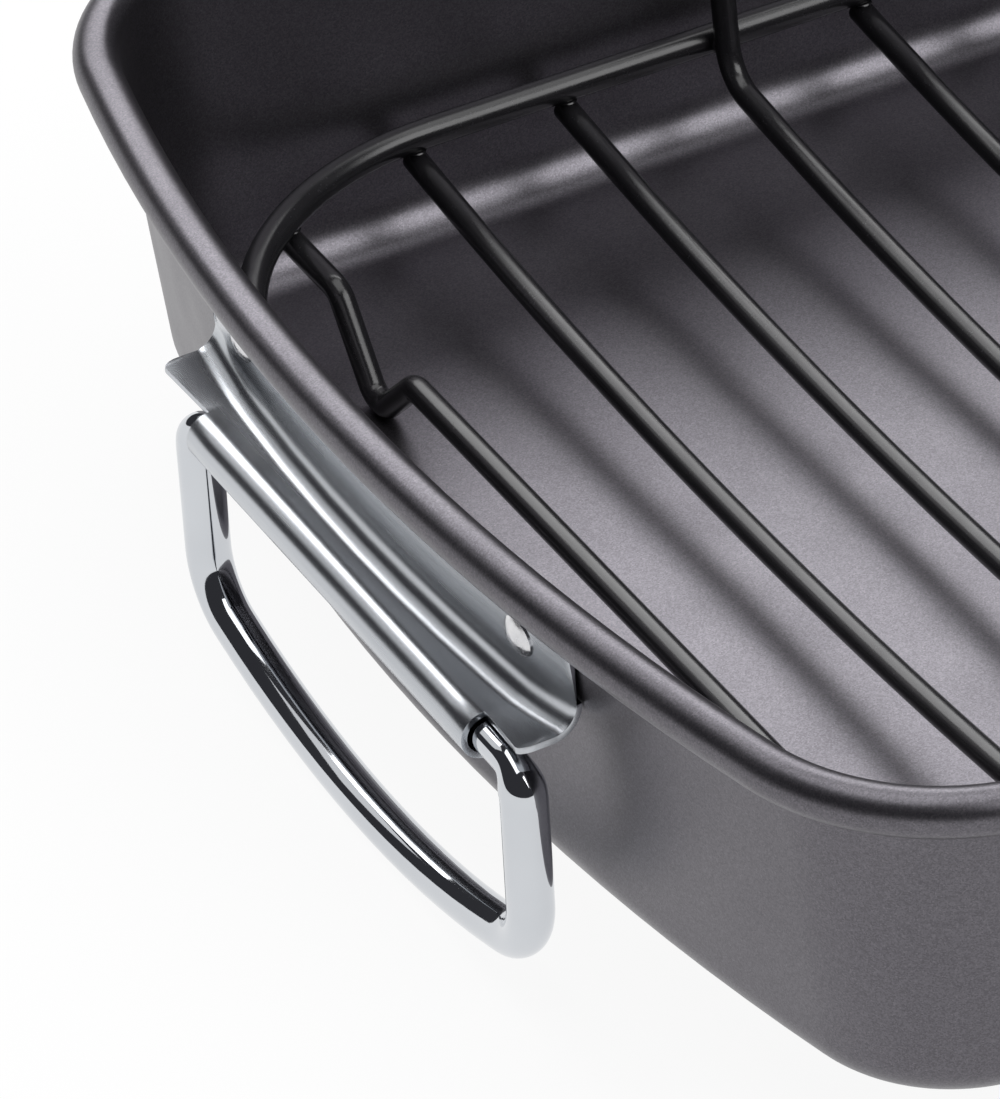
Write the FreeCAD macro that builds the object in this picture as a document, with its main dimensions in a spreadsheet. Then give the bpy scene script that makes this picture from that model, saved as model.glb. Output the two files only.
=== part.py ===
import FreeCAD, Part
import math
import os

import Sketcher
from FreeCAD import Placement, Rotation, Vector

# Roasting pan with a wire rack. A pressed steel pan with a rolled rim carries a riveted handle bracket at
# each end. A wire bail swings in the rolled barrel of each bracket. The wire rack stands on four feet on
# the pan's floor and lifts out by two loops.
# Frame: millimetres, origin at the centre of the pan's underside, X along the pan, Y across it, Z up.

doc = FreeCAD.newDocument("roasting_pan")
sheet = doc.addObject("Spreadsheet::Sheet", "Sizes")

SIZES = (
    ("pan_length", 388.0, "over the rolled rim, at the middle of the ends"),
    ("pan_width", 280.0, "over the rolled rim"),
    ("pan_height", 66.0, "underside to the top of the rim"),
    ("pan_sheet", 1.0, "steel sheet of the pan"),
    ("bead_radius", 3.8, "outside of the rolled rim"),
    ("curl_stop_deg", 135.0, "where the roll ends, below the level of its centre"),
    ("wall_draft", 0.10, "run of the wall per unit of height"),
    ("rim_corner_radius", 36.0, "centre line of the rim at the corners"),
    ("rim_end_radius", 500.0, "centre line of the rim along the bowed ends"),
    ("base_fillet", 9.0, "outside, between wall and base"),
    ("bracket_sheet", 1.05, "steel sheet of the handle brackets"),
    ("bracket_length", 120.0, "along the end of the pan"),
    ("bracket_top", 7.0, "below the centre of the rim"),
    ("bracket_cove", 4.5, "radius of the hollow above the barrel"),
    ("bracket_corner", 3.0, "radius of the lip's corners, seen from above"),
    ("flare_up", 2.0, "how far the lip rises from the barrel to the bracket's ends"),
    ("flare_out", 1.6, "how far the lip comes out from the barrel to the bracket's ends"),
    ("seat_gap", 0.05, "between surfaces that are riveted together"),
    ("barrel_radius", 4.25, "outside of the rolled barrel"),
    ("barrel_end_gap", 13.7, "end of the barrel to the end of the bracket"),
    ("barrel_out", 1.4, "barrel axis, outwards from the centre of the rim"),
    ("barrel_down", 28.5, "barrel axis, below the centre of the rim"),
    ("rivet_end_gap", 14.0, "rivet to the end of the bracket"),
    ("rivet_down", 13.0, "below the centre of the rim"),
    ("rivet_shank", 2.0, "radius"),
    ("rivet_head", 3.5, "radius of both heads"),
    ("rivet_dome", 1.4, "height of the outer head"),
    ("rivet_tail", 0.8, "height of the inner head"),
    ("rivet_fit", 0.05, "around the shank in its holes"),
    ("bail_wire", 3.75, "radius of the handle wire"),
    ("pin_clearance", 0.5, "around the handle's pin in the barrel"),
    ("pin_engagement", 12.0, "length of each pin inside the barrel"),
    ("pin_neck", 3.2, "pin left bare between the barrel and the bend"),
    ("bail_bend", 5.0, "bend from pin to leg, on the wire's centre"),
    ("bail_neck_deg", 45.0, "part of that bend with the thin wire"),
    ("shoulder_ledge", 0.105, "square ledge between the handle's shoulder and its pin"),
    ("bail_slide", 3.3, "how far the handle lies to one side of its play along the barrel"),
    ("bail_leg", 33.0, "barrel axis to the corner of the grip"),
    ("bail_corner", 11.0, "bend from leg to grip, on the wire's centre"),
    ("grip_drop", 15.5, "height of the shallow V that the grip rounds off"),
    ("grip_radius", 165.0, "bow of the grip"),
    ("frame_wire", 2.6, "radius of the rack's frame wire"),
    ("rack_wire", 2.2, "radius of the rack's other wires"),
    ("weld_sink", 0.1, "how far welded wires bite into each other"),
    ("rack_end_gap", 16.5, "frame wire to the centre of the rim at the ends"),
    ("rack_side_gap", 15.0, "frame wire to the centre of the rim at the sides"),
    ("rack_corner_radius", 55.0, "centre line of the frame wire"),
    ("rack_end_radius", 490.0, "bowed ends of the frame wire"),
    ("rack_level", 22.7, "centre of the frame wire above the underside"),
    ("wire_end_gap", 27.95, "first and last cross wires to the ends of the frame wire"),
    ("wire_sag", 8.2, "fall of a cross wire towards its middle"),
    ("wire_overrun", 1.0, "cross wires past the centre of the frame wire"),
    ("foot_inset", 31.0, "foot to the end of its wire"),
    ("foot_run", 11.0, "sloping part on each side of a foot"),
    ("foot_flat", 4.5, "level part of a foot before its bends"),
    ("foot_crest", 10.5, "middle of a footed wire above its feet"),
    ("foot_bend", 4.0, "bends of a foot, on the wire's centre"),
    ("foot_lift", 0.3, "under each foot, between rack and pan"),
    ("lift_bend", 8.0, "bends of the lifting loops, on the wire's centre"),
    ("lift_straight", 7.6, "straight stretch between those bends and the sag"),
    ("lift_lean_deg", 6.0, "outward lean of the lifting loops"),
    ("lift_over_rim", 12.0, "top of the lifting loops above the rim"),
)
for row, (alias, value, note) in enumerate(SIZES, start=1):
    sheet.set(f"A{row}", alias)
    sheet.set(f"B{row}", str(value))
    sheet.setAlias(f"B{row}", alias)
    sheet.set(f"C{row}", note)
doc.recompute()


def size(alias):
    return float(sheet.get(alias))


# Cross wires of the rack. The first and last have feet. Those that turn up into the lifting loops have this
# many others outside them at each end.
WIRE_COUNT = 11
OUTER_WIRE_COUNT = 3

# Values that follow from the sizes
rim_half_length = size("pan_length") / 2 - size("bead_radius")
rim_half_width = size("pan_width") / 2 - size("bead_radius")
rim_level = size("pan_height") - size("bead_radius")
draft = math.atan(size("wall_draft"))
curl_inside = size("bead_radius") - size("pan_sheet")
barrel_length = size("bracket_length") - 2 * size("barrel_end_gap")
rivet_spacing = size("bracket_length") - 2 * size("rivet_end_gap")
pin_radius = size("barrel_radius") - size("bracket_sheet") - size("pin_clearance")
bail_half = barrel_length / 2 + size("pin_neck") + size("bail_bend")
rack_half_length = rim_half_length - size("rack_end_gap")
rack_half_width = rim_half_width - size("rack_side_gap")
wire_pitch = 2 * (rack_half_length - size("wire_end_gap")) / (WIRE_COUNT - 1)
wire_level = size("rack_level") - size("frame_wire") - size("rack_wire") + size("weld_sink")
foot_level = size("pan_sheet") + size("foot_lift") + size("rack_wire")
sag_radius = (rack_half_width ** 2 + size("wire_sag") ** 2) / (2 * size("wire_sag"))


# Helpers

def origin_plane(body, role):
    return next(f for f in body.Origin.OriginFeatures if f.Role == role)


def add_sketch(body, name, role, offset=0.0):
    """A sketch on one of the body's own planes, moved along that plane's normal."""
    sketch = body.newObject("Sketcher::SketchObject", name)
    sketch.AttachmentSupport = [(origin_plane(body, role), "")]
    sketch.MapMode = "FlatFace"
    sketch.AttachmentOffset = Placement(Vector(0, 0, offset), Rotation())
    return sketch


def join(sketch):
    """Ties every pair of end points that lie at the same place."""
    ends = []
    for index, curve in enumerate(sketch.Geometry):
        if hasattr(curve, "StartPoint"):
            ends.append((index, 1, curve.StartPoint))
            ends.append((index, 2, curve.EndPoint))
    for i, (first, first_end, a) in enumerate(ends):
        for second, second_end, b in ends[i + 1:]:
            if first != second and a.distanceToPoint(b) < 1e-6:
                sketch.addConstraint(Sketcher.Constraint("Coincident", first, first_end, second, second_end))


def bind_radius(sketch, index, expression, radius):
    number = sketch.addConstraint(Sketcher.Constraint("Radius", index, radius))
    sketch.setExpression(f"Constraints[{number}]", expression)


def line(a, b):
    return Part.LineSegment(Vector(a[0], a[1], 0), Vector(b[0], b[1], 0))


def arc(centre, radius, start_deg, end_deg):
    """Arc that runs anticlockwise from start to end."""
    circle = Part.Circle(Vector(centre[0], centre[1], 0), Vector(0, 0, 1), radius)
    return Part.ArcOfCircle(circle, math.radians(start_deg), math.radians(end_deg))


def rounded(points, radii):
    """Lines through the points, with an arc of the given radius at each inner point."""
    pts = [Vector(p[0], p[1], 0) for p in points]
    curves = []
    start = pts[0]
    for i, radius in enumerate(radii, start=1):
        towards = (pts[i - 1] - pts[i]).normalize()
        away = (pts[i + 1] - pts[i]).normalize()
        half = towards.getAngle(away) / 2
        reach = radius / math.tan(half)
        first = pts[i] + towards * reach
        last = pts[i] + away * reach
        centre = pts[i] + (towards + away).normalize() * (radius / math.sin(half))
        if start.distanceToPoint(first) > 1e-6:
            curves.append(line(start, first))
        first_deg = math.degrees(math.atan2(first.y - centre.y, first.x - centre.x))
        last_deg = math.degrees(math.atan2(last.y - centre.y, last.x - centre.x))
        turn = (last_deg - first_deg + 180) % 360 - 180
        if turn > 0:
            curves.append(arc(centre, radius, first_deg, first_deg + turn))
        else:
            curves.append(arc(centre, radius, last_deg, last_deg - turn))
        start = last
    curves.append(line(start, pts[-1]))
    return curves


def bowed_outline(half_length, half_width, corner, end_radius):
    """Rectangle with round corners and bowed ends, as lines and arcs from the middle of the +Y side."""
    centre_y = half_width - corner
    centre_x = half_length - end_radius + math.sqrt((end_radius - corner) ** 2 - centre_y ** 2)
    spread = math.degrees(math.atan2(centre_y, centre_x - half_length + end_radius))
    bow = end_radius - half_length
    return [
        line((0, half_width), (centre_x, half_width)),
        arc((centre_x, centre_y), corner, spread, 90),
        arc((-bow, 0), end_radius, -spread, spread),
        arc((centre_x, -centre_y), corner, 270, 360 - spread),
        line((centre_x, -half_width), (-centre_x, -half_width)),
        arc((-centre_x, -centre_y), corner, 180 + spread, 270),
        arc((bow, 0), end_radius, 180 - spread, 180 + spread),
        arc((-centre_x, centre_y), corner, 90, 180 - spread),
        line((-centre_x, half_width), (0, half_width)),
    ]


def outline_half_width_at(x, half_length, half_width, corner, end_radius):
    """Half width of a bowed outline at a place along its length, outside its bowed ends."""
    centre_y = half_width - corner
    centre_x = half_length - end_radius + math.sqrt((end_radius - corner) ** 2 - centre_y ** 2)
    past = max(0.0, abs(x) - centre_x)
    return centre_y + math.sqrt(corner ** 2 - past ** 2)


def pipe(body, name, path, expression, radius):
    """Round wire along a path sketch."""
    ring = body.newObject("Sketcher::SketchObject", f"{name}_section")
    ring.AttachmentSupport = [(path, "Edge1")]
    ring.MapMode = "NormalToEdge"
    ring.MapPathParameter = 0
    ring.addGeometry(Part.Circle(Vector(0, 0, 0), Vector(0, 0, 1), radius))
    ring.addConstraint(Sketcher.Constraint("Coincident", 0, 3, -1, 1))
    bind_radius(ring, 0, expression, radius)
    sweep = body.newObject("PartDesign::AdditivePipe", name)
    sweep.Profile = ring
    sweep.Spine = path
    doc.recompute()
    return sweep


def path_sketch(body, name, role, curves, offset=0.0):
    sketch = add_sketch(body, name, role, offset)
    for curve in curves:
        sketch.addGeometry(curve)
    join(sketch)
    doc.recompute()
    return sketch


def new_body(label):
    body = doc.addObject("PartDesign::Body", label)
    body.Label = label
    return body


nodes = {}


# Pan: one section of the sheet, drawn out along the sides and turned round the corners and the bowed ends

inwards = (-math.cos(draft), math.sin(draft))
fillet = size("base_fillet")
sheet_fillet = fillet - size("pan_sheet")
down = (rim_level + (curl_inside + fillet) * math.sin(draft) - fillet) / math.cos(draft)
fillet_y = rim_half_width - (curl_inside + fillet) * math.cos(draft) - down * math.sin(draft)
draft_deg = math.degrees(draft)
curl_stop = -size("curl_stop_deg")


def from_rim(distance):
    """Point on the line through the centre of the rim, square to the wall."""
    return (rim_half_width + distance * inwards[0], rim_level + distance * inwards[1])


def from_fillet(radius):
    """Point where a fillet of this radius meets the wall."""
    return (fillet_y - radius * inwards[0], fillet - radius * inwards[1])


section = doc.addObject("Sketcher::SketchObject", "pan_section")
section.Placement = Placement(Vector(), Rotation(Vector(0, 1, 0), Vector(0, 0, 1), Vector(1, 0, 0), "XYZ"))
rim_centre = (rim_half_width, rim_level)
curl = math.radians(curl_stop)
curl_ends = [
    (rim_half_width + r * math.cos(curl), rim_level + r * math.sin(curl))
    for r in (size("bead_radius"), curl_inside)
]
for curve in (
    arc(rim_centre, size("bead_radius"), curl_stop, 180 - draft_deg),
    line(curl_ends[0], curl_ends[1]),
    arc(rim_centre, curl_inside, curl_stop, 180 - draft_deg),
    line(from_rim(curl_inside), from_fillet(fillet)),
    arc((fillet_y, fillet), fillet, 270, 360 - draft_deg),
    line((fillet_y, 0), (fillet_y, size("pan_sheet"))),
    arc((fillet_y, fillet), sheet_fillet, 270, 360 - draft_deg),
    line(from_fillet(sheet_fillet), from_rim(size("bead_radius"))),
):
    section.addGeometry(curve)
join(section)
bind_radius(section, 0, "Sizes.bead_radius", size("bead_radius"))
bind_radius(section, 2, "Sizes.bead_radius - Sizes.pan_sheet", curl_inside)
bind_radius(section, 4, "Sizes.base_fillet", fillet)
bind_radius(section, 6, "Sizes.base_fillet - Sizes.pan_sheet", sheet_fillet)

corner_y = rim_half_width - size("rim_corner_radius")
corner_x = rim_half_length - size("rim_end_radius") + math.sqrt(
    (size("rim_end_radius") - size("rim_corner_radius")) ** 2 - corner_y ** 2)
spread = math.degrees(math.atan2(corner_y, corner_x - rim_half_length + size("rim_end_radius")))

side = doc.addObject("Part::Extrusion", "pan_side")
side.Base = section
side.DirMode = "Normal"
side.LengthFwd = 2 * corner_x
side.Symmetric = True
side.Solid = True

corner = doc.addObject("Part::Revolution", "pan_corner")
corner.Source = section
corner.Base = Vector(0, corner_y, 0)
corner.Axis = Vector(0, 0, -1)
corner.Angle = 90 - spread
corner.Solid = True
corner.Placement = Placement(Vector(corner_x, 0, 0), Rotation())

end = doc.addObject("Part::Revolution", "pan_end")
end.Source = section
end.Base = Vector(0, rim_half_width - size("rim_end_radius"), 0)
end.setExpression("Base.y", "Sizes.pan_width / 2 - Sizes.bead_radius - Sizes.rim_end_radius")
end.Axis = Vector(0, 0, 1)
end.Angle = 2 * spread
end.Symmetric = True
end.Solid = True
end.Placement = Placement(Vector(rim_half_length - rim_half_width, 0, 0), Rotation(Vector(0, 0, 1), -90))


def mirrored(source, normal, name):
    twin = doc.addObject("Part::Mirroring", name)
    twin.Source = source
    twin.Normal = normal
    return twin


floor_inset = rim_half_width - fillet_y
floor_outline = doc.addObject("Sketcher::SketchObject", "pan_floor_outline")
for curve in bowed_outline(
    rim_half_length - floor_inset,
    rim_half_width - floor_inset,
    size("rim_corner_radius") - floor_inset,
    size("rim_end_radius") - floor_inset,
):
    floor_outline.addGeometry(curve)
join(floor_outline)
floor = doc.addObject("Part::Extrusion", "pan_floor")
floor.Base = floor_outline
floor.DirMode = "Normal"
floor.setExpression("LengthFwd", "Sizes.pan_sheet")
floor.Solid = True

back_corner = mirrored(corner, Vector(1, 0, 0), "pan_corner_back")
pan_blank = doc.addObject("Part::MultiFuse", "pan_blank")
pan_blank.Shapes = [
    floor,
    side,
    mirrored(side, Vector(0, 1, 0), "pan_side_front"),
    corner,
    back_corner,
    mirrored(corner, Vector(0, 1, 0), "pan_corner_front"),
    mirrored(back_corner, Vector(0, 1, 0), "pan_corner_far"),
    end,
    mirrored(end, Vector(1, 0, 0), "pan_end_left"),
]
pan_blank.Refine = True
doc.recompute()

# Ends of the pan: brackets, rivets and bails are drawn from the centre of the rim at the middle of an end,
# with x pointing outwards, and then placed at either end

ENDS = {
    "right": Placement(Vector(rim_half_length, 0, rim_level), Rotation()),
    "left": Placement(Vector(-rim_half_length, 0, rim_level), Rotation(Vector(0, 0, 1), 180)),
}
rivet_length = size("bracket_sheet") + size("pan_sheet") + 2 * size("seat_gap")
drill_length = 4 * rivet_length


def wall_out(depth):
    """Outer face of the end wall at its middle, outwards from the rim, at a depth below the rim's centre."""
    return -curl_inside / math.cos(draft) - math.tan(draft) * depth


def bracket_section(sketch, y):
    """Flange on the wall, hollow and lip, at a place along the bracket. The lip flares past the barrel."""
    flare = max(0.0, (abs(y) - barrel_length / 2) / size("barrel_end_gap"))
    arc_radius = size("rim_end_radius") + wall_out(size("rivet_down"))
    bow = arc_radius - math.sqrt(arc_radius ** 2 - y ** 2)
    back = size("seat_gap") / math.cos(draft) - bow
    face = back + size("bracket_sheet") / math.cos(draft)
    cove = size("bracket_cove")
    under = cove + size("bracket_sheet")
    top = size("bracket_top")
    lip = size("barrel_down") - size("barrel_radius") - flare * size("flare_up")
    lip_under = lip + size("bracket_sheet")
    tangent = lip - cove - cove * math.sin(draft)
    centre_x = wall_out(tangent) + face + cove * math.cos(draft)
    centre = (centre_x, -(lip - cove))
    face_end = (wall_out(tangent) + face, -tangent)
    back_end = (centre_x - under * math.cos(draft), -(lip - cove - under * math.sin(draft)))
    edge = size("barrel_out") + flare * size("flare_out")
    for curve in (
        line((wall_out(top) + face, -top), face_end),
        arc(centre, cove, 180 - draft_deg, 270),
        line((centre_x, -lip), (edge, -lip)),
        line((edge, -lip), (edge, -lip_under)),
        line((edge, -lip_under), (centre_x, -lip_under)),
        arc(centre, under, 180 - draft_deg, 270),
        line(back_end, (wall_out(top) + back, -top)),
        line((wall_out(top) + back, -top), (wall_out(top) + face, -top)),
    ):
        sketch.addGeometry(curve)
    join(sketch)
    bind_radius(sketch, 1, "Sizes.bracket_cove", cove)
    bind_radius(sketch, 5, "Sizes.bracket_cove + Sizes.bracket_sheet", under)


def circle_sketch(body, name, centre, expression, radius):
    sketch = add_sketch(body, name, "XZ_Plane")
    sketch.addGeometry(Part.Circle(Vector(centre[0], centre[1], 0), Vector(0, 0, 1), radius))
    bind_radius(sketch, 0, expression, radius)
    return sketch


def make_bracket(label):
    """Handle bracket: a sheet that follows the wall, with its lower edge rolled into a barrel."""
    body = new_body(label)
    half = size("bracket_length") / 2
    barrel_half = barrel_length / 2
    stretches = {
        "middle": (-barrel_half, 0.0, barrel_half),
        "front": (-half, -barrel_half),
        "back": (barrel_half, half),
    }
    for name, places in stretches.items():
        sections = []
        for number, y in enumerate(places, start=1):
            sketch = add_sketch(body, f"{label}_{name}_section_{number}", "XZ_Plane", -y)
            bracket_section(sketch, y)
            sections.append(sketch)
        doc.recompute()
        sheet_metal = body.newObject("PartDesign::AdditiveLoft", f"{label}_{name}_sheet")
        sheet_metal.Profile = sections[0]
        sheet_metal.Sections = sections[1:]
        doc.recompute()

    axis = (size("barrel_out"), -size("barrel_down"))
    outside = size("barrel_radius")
    inside = size("barrel_radius") - size("bracket_sheet")
    roll = body.newObject("PartDesign::Pad", f"{label}_barrel")
    roll.Profile = circle_sketch(body, f"{label}_barrel_outside", axis, "Sizes.barrel_radius", outside)
    roll.SideType = "Symmetric"
    roll.setExpression("Length", "Sizes.bracket_length - 2 * Sizes.barrel_end_gap")
    doc.recompute()
    bore = body.newObject("PartDesign::Pocket", f"{label}_bore")
    inside_bound = "Sizes.barrel_radius - Sizes.bracket_sheet"
    bore.Profile = circle_sketch(body, f"{label}_barrel_inside", axis, inside_bound, inside)
    bore.SideType = "Symmetric"
    bore.setExpression("Length", "Sizes.bracket_length")
    doc.recompute()

    corners = add_sketch(body, f"{label}_corners", "XY_Plane")
    radius = size("bracket_corner")
    start = half - radius
    edge = size("barrel_out") + size("flare_out")
    outer = edge + radius
    for sign, quarter in ((1, (0, 90)), (-1, (270, 360))):
        beyond = sign * (half + radius)
        corners.addGeometry(arc((edge - radius, sign * start), radius, *quarter))
        corners.addGeometry(line((edge - radius, sign * half), (edge - radius, beyond)))
        corners.addGeometry(line((edge - radius, beyond), (outer, beyond)))
        corners.addGeometry(line((outer, beyond), (outer, sign * start)))
        corners.addGeometry(line((outer, sign * start), (edge, sign * start)))
    join(corners)
    doc.recompute()
    cut = body.newObject("PartDesign::Pocket", f"{label}_corner_cut")
    cut.Profile = corners
    cut.SideType = "Symmetric"
    cut.setExpression("Length", "4 * Sizes.barrel_down")
    doc.recompute()
    return body


def make_rivet(label):
    """Rivet with a domed outer head and a flat inner one; x = 0 lies under the outer head."""
    body = new_body(label)
    sketch = add_sketch(body, f"{label}_profile", "XZ_Plane")
    head = size("rivet_head")
    dome = size("rivet_dome")
    shank = size("rivet_shank")
    tail = -rivet_length - size("rivet_tail")
    ball = (head ** 2 + dome ** 2) / (2 * dome)
    reach = math.degrees(math.asin(head / ball))
    corners = [
        (dome, 0),
        (tail, 0),
        (tail, head),
        (-rivet_length, head),
        (-rivet_length, shank),
        (0, shank),
        (0, head),
    ]
    for a, b in zip(corners, corners[1:]):
        sketch.addGeometry(line(a, b))
    sketch.addGeometry(arc((dome - ball, 0), ball, 0, reach))
    join(sketch)
    doc.recompute()
    turned = body.newObject("PartDesign::Revolution", f"{label}_turned")
    turned.Profile = sketch
    turned.ReferenceAxis = (sketch, ["H_Axis"])
    turned.Angle = 360
    doc.recompute()
    return body


def rivet_place(sign):
    """Place on the bracket's flange, with x along the normal of the wall."""
    depth = size("rivet_down")
    face = wall_out(depth) + (size("seat_gap") + size("bracket_sheet")) / math.cos(draft)
    radius = size("rim_end_radius") + face
    turn = math.asin(sign * rivet_spacing / 2 / radius)
    point = Vector(radius * math.cos(turn) - size("rim_end_radius"), radius * math.sin(turn), -depth)
    normal = Vector(math.cos(draft) * math.cos(turn), math.cos(draft) * math.sin(turn), -math.sin(draft))
    return Placement(point, Rotation(Vector(1, 0, 0), normal))


def make_bail(label):
    """Wire handle that hangs from the barrel's axis: thin pins, two bends, two legs and a bowed grip."""
    body = new_body(label)
    bend = size("bail_bend")
    leg = size("bail_leg")
    start = bail_half - bend
    neck = size("bail_neck_deg")
    points = [
        (-bail_half, -bend),
        (-bail_half, -leg),
        (0, -leg - size("grip_drop")),
        (bail_half, -leg),
        (bail_half, -bend),
    ]
    grip = rounded(points, [size("bail_corner"), size("grip_radius"), size("bail_corner")])
    curves = [arc((-start, -bend), bend, 90 + neck, 180)] + grip + [arc((start, -bend), bend, 0, 90 - neck)]
    path = path_sketch(body, f"{label}_path", "YZ_Plane", curves)
    wire = pipe(body, f"{label}_wire", path, "Sizes.bail_wire", size("bail_wire"))

    rim_edges = []
    for number, edge in enumerate(wire.Shape.Edges, start=1):
        closed = edge.isClosed() and abs(edge.Length - 2 * math.pi * size("bail_wire")) < 0.01
        if closed and edge.CenterOfMass.z > -bend / 2:
            rim_edges.append(f"Edge{number}")
    shoulder = body.newObject("PartDesign::Chamfer", f"{label}_shoulders")
    shoulder.Base = (wire, rim_edges)
    shoulder.Size = size("bail_wire") - pin_radius - size("shoulder_ledge")
    doc.recompute()

    inner = barrel_length / 2 - size("pin_engagement")
    for sign, limits in ((1, (90 - neck, 90)), (-1, (90, 90 + neck))):
        name = f"{label}_pin_{'back' if sign > 0 else 'front'}"
        curves = [line((sign * inner, 0), (sign * start, 0)), arc((sign * start, -bend), bend, *limits)]
        path = path_sketch(body, f"{name}_path", "YZ_Plane", curves)
        pipe(body, name, path, "Sizes.barrel_radius - Sizes.bracket_sheet - Sizes.pin_clearance", pin_radius)
    return body


holes = {}
for end_name, end_place in ENDS.items():
    holes[end_name] = []
    for row_name, sign in (("front", -1), ("back", 1)):
        place = end_place.multiply(rivet_place(sign if end_name == "right" else -sign))
        rivet = make_rivet(f"{end_name}_rivet_{row_name}")
        rivet.Placement = place
        nodes[rivet.Label] = rivet
        hole = doc.addObject("Part::Cylinder", f"{rivet.Label}_hole")
        hole.setExpression("Radius", "Sizes.rivet_shank + Sizes.rivet_fit")
        hole.Height = drill_length
        start = Vector(-(drill_length + rivet_length) / 2, 0, 0)
        hole.Placement = place.multiply(Placement(start, Rotation(Vector(0, 1, 0), 90)))
        holes[end_name].append(hole)

    blank = make_bracket(f"{end_name}_bracket_blank")
    blank.Placement = end_place
    drill = doc.addObject("Part::MultiFuse", f"{end_name}_drill")
    drill.Shapes = holes[end_name]
    bracket = doc.addObject("Part::Cut", f"{end_name}_bracket")
    bracket.Base = blank
    bracket.Tool = drill
    nodes[f"{end_name}_bracket"] = bracket

    bail = make_bail(f"{end_name}_bail")
    hinge = Placement(Vector(size("barrel_out"), size("bail_slide"), -size("barrel_down")), Rotation())
    bail.Placement = end_place.multiply(hinge)
    nodes[bail.Label] = bail

pan_drill = doc.addObject("Part::MultiFuse", "pan_drill")
pan_drill.Shapes = holes["left"] + holes["right"]
pan = doc.addObject("Part::Cut", "pan_body")
pan.Base = pan_blank
pan.Tool = pan_drill
nodes["pan_body"] = pan
doc.recompute()

# Rack: a closed frame wire, cross wires welded under it, and a closed wire that makes two of the cross wires
# and both lifting loops

rack_shape = (rack_half_length, rack_half_width, size("rack_corner_radius"), size("rack_end_radius"))
frame = new_body("rack_frame_wire")
frame_path = path_sketch(frame, "frame_path", "XY_Plane", bowed_outline(*rack_shape), size("rack_level"))
pipe(frame, "frame_pipe", frame_path, "Sizes.frame_wire", size("frame_wire"))
nodes["rack_frame_wire"] = frame


def sagging_path():
    half = rack_half_width + size("wire_overrun")
    reach = math.degrees(math.asin(half / sag_radius))
    centre = (0, wire_level - size("wire_sag") + sag_radius)
    return [arc(centre, sag_radius, 270 - reach, 270 + reach)]


def footed_path(x):
    half = outline_half_width_at(x, *rack_shape)
    foot = half - size("foot_inset")
    near = foot - size("foot_flat") / 2
    far = foot + size("foot_flat") / 2
    run = size("foot_run")
    crest = foot_level + size("foot_crest")
    outer = [
        (half + size("wire_overrun"), wire_level),
        (far + run, wire_level),
        (far, foot_level),
        (near, foot_level),
        (near - run, crest),
    ]
    points = [(-y, z) for y, z in outer] + list(reversed(outer))
    return rounded(points, [size("foot_bend")] * (len(points) - 2))


lift_x = ((WIRE_COUNT - 1) / 2 - OUTER_WIRE_COUNT) * wire_pitch
lean = math.radians(size("lift_lean_deg"))
upright_y = rack_half_width - (size("frame_wire") + size("rack_wire") - size("weld_sink")) / math.cos(lean)
joint_level = size("rack_level") + 2 * size("frame_wire")
joint_y = upright_y + math.tan(lean) * (joint_level - size("rack_level"))


def lift_cross_path():
    """Cross wire with the lower part of both uprights."""
    level = wire_level - size("wire_sag") + upright_y ** 2 / (2 * sag_radius)
    corner_y = upright_y + math.tan(lean) * (level - size("rack_level"))
    slope = math.atan2(corner_y, sag_radius)
    lowest = level - corner_y * math.tan(slope)
    bend_reach = size("lift_bend") * math.tan((math.pi / 2 - lean - slope) / 2)
    sag_reach = corner_y / math.cos(slope) - bend_reach - size("lift_straight")
    points = [
        (-joint_y, joint_level),
        (-corner_y, level),
        (0, lowest),
        (corner_y, level),
        (joint_y, joint_level),
    ]
    return rounded(points, [size("lift_bend"), sag_reach / math.tan(slope), size("lift_bend")])


def lift_loop_path():
    height = size("pan_height") + size("lift_over_rim") - size("rack_wire") - joint_level
    top = height / math.cos(lean)
    points = [(-lift_x, 0), (-lift_x, top), (lift_x, top), (lift_x, 0)]
    return rounded(points, [size("lift_bend")] * 2)


lift_parts = []
for sign, name in ((-1, "left"), (1, "right")):
    cross = new_body(f"lift_cross_{name}")
    path = path_sketch(cross, f"lift_cross_{name}_path", "YZ_Plane", lift_cross_path())
    pipe(cross, f"lift_cross_{name}_pipe", path, "Sizes.rack_wire", size("rack_wire"))
    cross.Placement = Placement(Vector(sign * lift_x, 0, 0), Rotation())
    lift_parts.append(cross)
for sign, name in ((-1, "front"), (1, "back")):
    loop = new_body(f"lift_loop_{name}")
    path = path_sketch(loop, f"lift_loop_{name}_path", "XZ_Plane", lift_loop_path())
    pipe(loop, f"lift_loop_{name}_pipe", path, "Sizes.rack_wire", size("rack_wire"))
    tilt = Rotation(Vector(1, 0, 0), -sign * size("lift_lean_deg"))
    loop.Placement = Placement(Vector(0, sign * joint_y, joint_level), tilt)
    lift_parts.append(loop)
lift = doc.addObject("Part::MultiFuse", "rack_lift_wire")
lift.Shapes = lift_parts
lift.Refine = True
nodes["rack_lift_wire"] = lift

for number in range(1, WIRE_COUNT + 1):
    if number in (OUTER_WIRE_COUNT + 1, WIRE_COUNT - OUTER_WIRE_COUNT):
        continue
    x = (number - (WIRE_COUNT + 1) / 2) * wire_pitch
    footed = number in (1, WIRE_COUNT)
    label = f"rack_foot_wire_{number:02d}" if footed else f"rack_cross_wire_{number:02d}"
    wire = new_body(label)
    path = path_sketch(wire, f"{label}_path", "YZ_Plane", footed_path(x) if footed else sagging_path())
    pipe(wire, f"{label}_pipe", path, "Sizes.rack_wire", size("rack_wire"))
    wire.Placement = Placement(Vector(x, 0, 0), Rotation())
    nodes[label] = wire

doc.recompute()

# Every object must have computed, and every node must be one valid solid, before anything is written

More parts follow.
